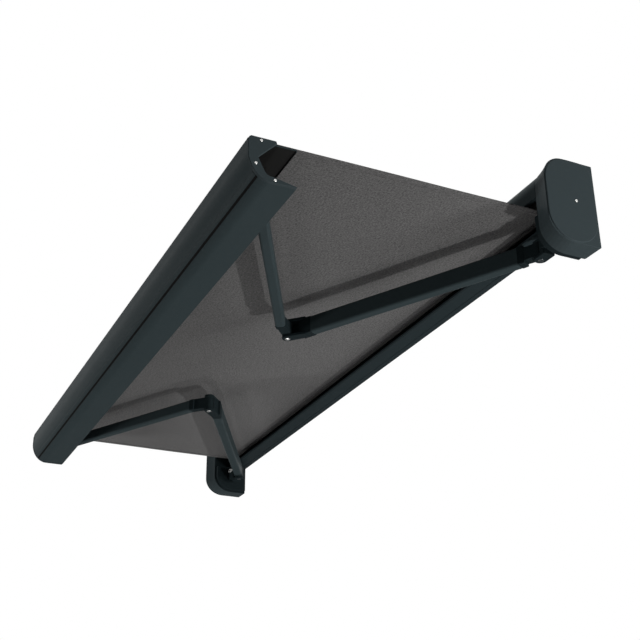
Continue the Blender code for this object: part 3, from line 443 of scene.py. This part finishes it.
def make_hem(side):
    """Folded side hem: a strip under the cloth's edge whose outer edge turns up in a half circle
    to meet it; the bar's channel presses its last 30 mm flat."""
    inner, outer = HALF - HEM, HALF - HEM_TURN
    turn = np.linspace(-pi / 2, pi / 2, 7)
    across = np.concatenate((np.linspace(inner, outer, 8), outer + HEM_TURN * np.cos(turn[1:-1])))
    drop = np.concatenate((np.full(8, -HEM_DROP), -0.00020 + 0.00075 * np.sin(turn[1:-1])))
    y = np.linspace(Y_ROLL - 0.002, Y_BAR + 0.002, 91)
    gx, gy = np.meshgrid(side * across, y)
    pressed = 0.6 + 0.4 * np.clip((gy - Y_BAR) / 0.030, 0, 1)
    points = np.stack((gx, gy, cloth_drop(gx, gy) + pressed * drop[None, :]), axis=-1)
    cut = np.stack((gx + 0.3, gy), axis=-1)
    return surface("hem_" + ("right" if side > 0 else "left"), points, cut, solid=0.0005)


def make_stitches(side):
    """Two rows of lock stitches on the hem: each a low half-ellipse thread, six points round and four along."""
    rows_x = (HALF - HEM + 0.0030, HALF - HEM + 0.0085)
    pitch, length, radius = 0.0050, 0.0036, 0.00032
    y0 = np.arange(Y_ROLL - 0.010, Y_BAR + 0.010, -pitch)
    t, a = np.linspace(0, 1, 4), np.linspace(0, 2 * pi, 6, endpoint=False)
    swell = np.sqrt(np.clip(1 - (2 * t - 1) ** 2, 0, 1)) * 0.85 + 0.15
    verts, faces, base = [], [], 0
    ring, after = np.arange(6), np.roll(np.arange(6), -1)
    cells = np.concatenate([np.stack((k * 6 + ring, k * 6 + after, (k + 1) * 6 + after, (k + 1) * 6 + ring), -1)
                            for k in range(3)])
    for row in rows_x:
        for y in y0:
            py = y - t * length
            z = cloth_drop(np.full(4, row), py) - STITCH_DROP
            vx = side * row + radius * swell[:, None] * np.cos(a)
            vz = z[:, None] + radius * swell[:, None] * np.sin(a)
            verts.append(np.stack((vx, np.repeat(py[:, None], 6, 1), vz), -1).reshape(-1, 3))
            faces.append(cells + base)
            base += 4 * 6
    me = bpy.data.meshes.new("stitches")
    me.from_pydata(np.concatenate(verts), [], np.concatenate(faces).tolist())
    me.uv_layers.new(name="cut")
    me.materials.append(FINISH["cloth_grey"])
    me.shade_smooth()
    ob = bpy.data.objects.new("stitches_" + ("right" if side > 0 else "left"), me)
    bpy.context.scene.collection.objects.link(ob)
    return ob


def rows_along(half):
    """Places along X for a piece that runs from end to end: one row close to each end keeps
    the middle's shading straight."""
    return np.array((-half, 0.003 - half, 0.0, half - 0.003, half))


def make_bead():
    """Beaded front edge: a circle carried along X inside the bar's channel, open where the cloth leaves it."""
    a, x = np.linspace(0.16, 2 * pi - 0.16, 17), rows_along(HALF)
    ga, gx = np.meshgrid(a, x)
    centre_y = cloth_low[1] + 0.0028
    points = np.stack((gx, centre_y + BEAD_RADIUS * np.cos(ga), Z_TAUT + BEAD_RADIUS * np.sin(ga)), axis=-1)
    return surface("bead", points, np.stack((gx, ga * BEAD_RADIUS), axis=-1), solid=THICK)


def make_roll():
    """Wound cloth: a spiral whose radius grows by one thickness a turn, carried along X."""
    turns, steps = 7, 44
    a = np.linspace(0, 2 * pi * turns, turns * steps + 1)
    radius = ROLL_RADIUS - THICK / 2 - (ROLL_RADIUS - THICK - TUBE_RADIUS) * a / a[-1]
    x = rows_along(HALF)
    ga, gx = np.meshgrid(a, x)
    gr = np.meshgrid(radius, x)[0]
    angle = 1.5 * pi + ga
    points = np.stack((gx, ROLL_AXIS[0] + gr * np.cos(angle), ROLL_AXIS[1] + gr * np.sin(angle)), axis=-1)
    return surface("wound_cloth", points, np.stack((gx, ga * 0.041), axis=-1), solid=0.00045)


# Valance slot on the bar's nose
BAR_LOW, BAR_HIGH = (np.array(v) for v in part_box("front_bar"))
BAR_AXIS = (BAR_LOW[0] + BAR_HIGH[0]) / 2
NOSE_DEPTH, NOSE_RISE = 0.069, 0.087
NOSE_Y, NOSE_Z = BAR_LOW[1] + NOSE_DEPTH, BAR_LOW[2] + NOSE_RISE


def nose_strip(name, start, stop, lift, finish):
    """Thin strip on the bar's quarter-elliptical nose: y and z from the ellipse grown by lift,
    between two angles from straight down."""
    a = np.radians(np.linspace(start, stop, 9))
    x = rows_along(BAR_HIGH[0] - BAR_AXIS - 0.001) + BAR_AXIS
    ga, gx = np.meshgrid(a, x)
    depth, rise = NOSE_DEPTH + lift, NOSE_RISE + lift
    points = np.stack((gx, NOSE_Y - depth * np.sin(ga), NOSE_Z - rise * np.cos(ga)), axis=-1)
    strip = surface(name, points, np.stack((gx, ga * 0.08), axis=-1), finish, solid=0.0005)
    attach(strip, "front_bar")


# The cover hides the solid's slot, and a near-black strip paints the slot's shade as a dark line along the nose
nose_strip("slot_cover", 37.2, 48.6, 0.00035, "coat_profile")
nose_strip("slot_shade_strip", 31.6, 37.2, 0.00040, "painted_slot_shade")


# Elbow webs close the fork's throat behind the forearm's eye
WEB_ROOT = -0.0515       # where the web meets the fork's collar, from the elbow pin
WEB_REACH = 0.0192       # radius of the hollow round the eye, whose own is 0.0175


def elbow_web(label):
    """Cast web between the elbow fork's plates: a plan outline with an arc round the forearm's eye,
    carried straight up Z."""
    place, shoulder = (np.sum(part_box(name + label), axis=0) / 2 for name in ("elbow_pin_", "shoulder_pin_"))
    ahead = (place - shoulder)[:2] / np.linalg.norm((place - shoulder)[:2])
    aside = np.array((-ahead[1], ahead[0])) * -np.sign(ahead[0])
    arc = np.radians(np.linspace(231, 252, 5))
    round_eye = WEB_REACH * np.stack((np.cos(arc), np.sin(arc)), -1)
    plan = np.concatenate(([(WEB_ROOT, -0.0045), (-0.0190, -0.0140)], round_eye, [(WEB_ROOT, -0.0300)]))
    flat = place[:2] + plan[:, :1] * ahead + plan[:, 1:] * aside
    low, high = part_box("elbow_end_" + label)
    heights = (low[2] - 0.0003, high[2] + 0.0003)
    points = np.stack([np.column_stack((flat, np.full(len(flat), z))) for z in heights])
    web = surface("elbow_web_" + label, points, points[:, :, [0, 2]], "coat_cast",
                  closed_u=True, solid=0.0004, smooth=False)
    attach(web, label + "_rear_arm")


elbow_web("right")
elbow_web("left")

# Cloth pieces: the canopy and its edging ride on the cassette, each with a mesh of its own
canopy = make_cloth()
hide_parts("cloth")
edging = [make_hem(1), make_hem(-1), make_stitches(1), make_stitches(-1)]
for piece in [canopy] + edging:
    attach(piece, "cassette")
    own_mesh(piece)
bead = make_bead()
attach(bead, "front_bar")
wound = make_roll()
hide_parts("cloth_roll")
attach(wound, "roller")


# Floor, white surround and plain lamps
def make_floor():
    """Pale paving far below: a flat square, matt, with a slight mottle, and clear from underneath."""
    me = bpy.data.meshes.new("floor")
    h = FLOOR_SIZE / 2
    corners = [(-h, -h, FLOOR_Z), (h, -h, FLOOR_Z), (h, h, FLOOR_Z), (-h, h, FLOOR_Z)]
    me.from_pydata(corners, [], [(0, 1, 2, 3)])
    floor = bpy.data.objects.new("floor", me)
    bpy.context.scene.collection.objects.link(floor)
    m, t, shader = new_material("pale_floor", specular=0.1)
    place = node(t, "ShaderNodeTexCoord").outputs["Object"]
    mottle = blend_colour(t, noise(t, place, 0.8), (0.80, 0.80, 0.80, 1), (0.84, 0.84, 0.84, 1))
    t.links.new(mottle, shader.inputs["Base Color"])
    shader.inputs["Roughness"].default_value = 0.9
    behind = node(t, "ShaderNodeNewGeometry").outputs["Backfacing"]
    clear = node(t, "ShaderNodeBsdfTransparent")
    one_sided = node(t, "ShaderNodeMixShader", {0: behind, 1: shader.outputs[0], 2: clear.outputs[0]})
    output = next(n for n in t.nodes if n.type == "OUTPUT_MATERIAL")
    t.links.new(one_sided.outputs[0], output.inputs["Surface"])
    me.materials.append(m)


def make_world():
    """Soft even light, and plain white where the camera, gloss or glass looks past the awning."""
    world = bpy.data.worlds.new("surround")
    bpy.context.scene.world = world
    world.use_nodes = True
    t = world.node_tree
    t.nodes.clear()
    path = node(t, "ShaderNodeLightPath")
    past_gloss = math_node(t, "MAXIMUM", path.outputs["Is Glossy Ray"], path.outputs["Is Transmission Ray"])
    seen = math_node(t, "MAXIMUM", path.outputs["Is Camera Ray"], past_gloss)
    soft = node(t, "ShaderNodeBackground", {"Color": (0.96, 0.98, 1.0, 1), "Strength": 0.10})
    white = node(t, "ShaderNodeBackground", {"Color": (1, 1, 1, 1), "Strength": 1.0})
    both = node(t, "ShaderNodeMixShader", {0: seen, 1: soft.outputs[0], 2: white.outputs[0]})
    node(t, "ShaderNodeOutputWorld", {"Surface": both.outputs[0]})


def lamp(name, place, target, size, power, depth=None, spread=180.0):
    """Area lamp at place that looks at target: square, or size wide and depth deep. The camera
    doesn't see it."""
    data = bpy.data.lights.new(name, "AREA")
    data.shape, data.size, data.size_y, data.energy = "RECTANGLE", size, depth or size, power
    data.spread = radians(spread)
    ob = bpy.data.objects.new(name, data)
    ob.location = place
    ob.visible_camera = False
    ob.rotation_euler = (Vector(target) - Vector(place)).to_track_quat("-Z", "Y").to_euler()
    bpy.context.scene.collection.objects.link(ob)


make_floor()
make_world()
MIDDLE = (0.0, -0.55, -0.1)
# Three small lamps below throw the arms' shadows on the cloth, and the others fill from each side
lamp("lamp_below_left", (-2.15, 0.60, -3.80), MIDDLE, 0.12, 23.0)
lamp("lamp_below_right", (3.15, 2.20, -3.80), MIDDLE, 0.14, 122.0)
lamp("lamp_below_far", (-3.25, -2.60, -3.80), MIDDLE, 0.14, 19.0)
lamp("lamp_near_end", (5.0, 2.2, -1.2), (1.5, -0.1, 0.0), 1.2, 150.0)
lamp("lamp_street", (-3.5, -5.3, -1.6), (1.2, -1.0, -0.1), 0.8, 108.0)
lamp("lamp_above", (0.0, -0.30, 2.2), MIDDLE, 3.2, 20.0, depth=1.4, spread=50.0)

bpy.context.scene.view_settings.view_transform = "Standard"
